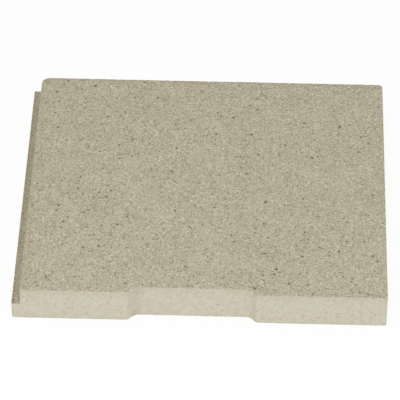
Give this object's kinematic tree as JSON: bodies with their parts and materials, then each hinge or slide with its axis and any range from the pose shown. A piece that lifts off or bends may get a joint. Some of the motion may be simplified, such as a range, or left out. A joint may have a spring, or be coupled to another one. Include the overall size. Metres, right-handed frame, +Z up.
{
  "type": "refractory firebrick",
  "caption": "Flat refractory firebrick panel with a rebated left side and a shallow notch in the front edge, for lining a stove or fireplace.",
  "frame": {"origin": "middle of the underside of the brick's box", "axes": "+X to the right along the longest side, away from the rebated side; +Y from the notched front edge to the back; +Z up through the thickness"},
  "size_m": [0.254, 0.2286, 0.0254],
  "materials": {
    "fireclay": "matte, fine-grained"
  },
  "bodies": {
    "root": {"firebrick": "fireclay"}
  },
  "joints": []
}
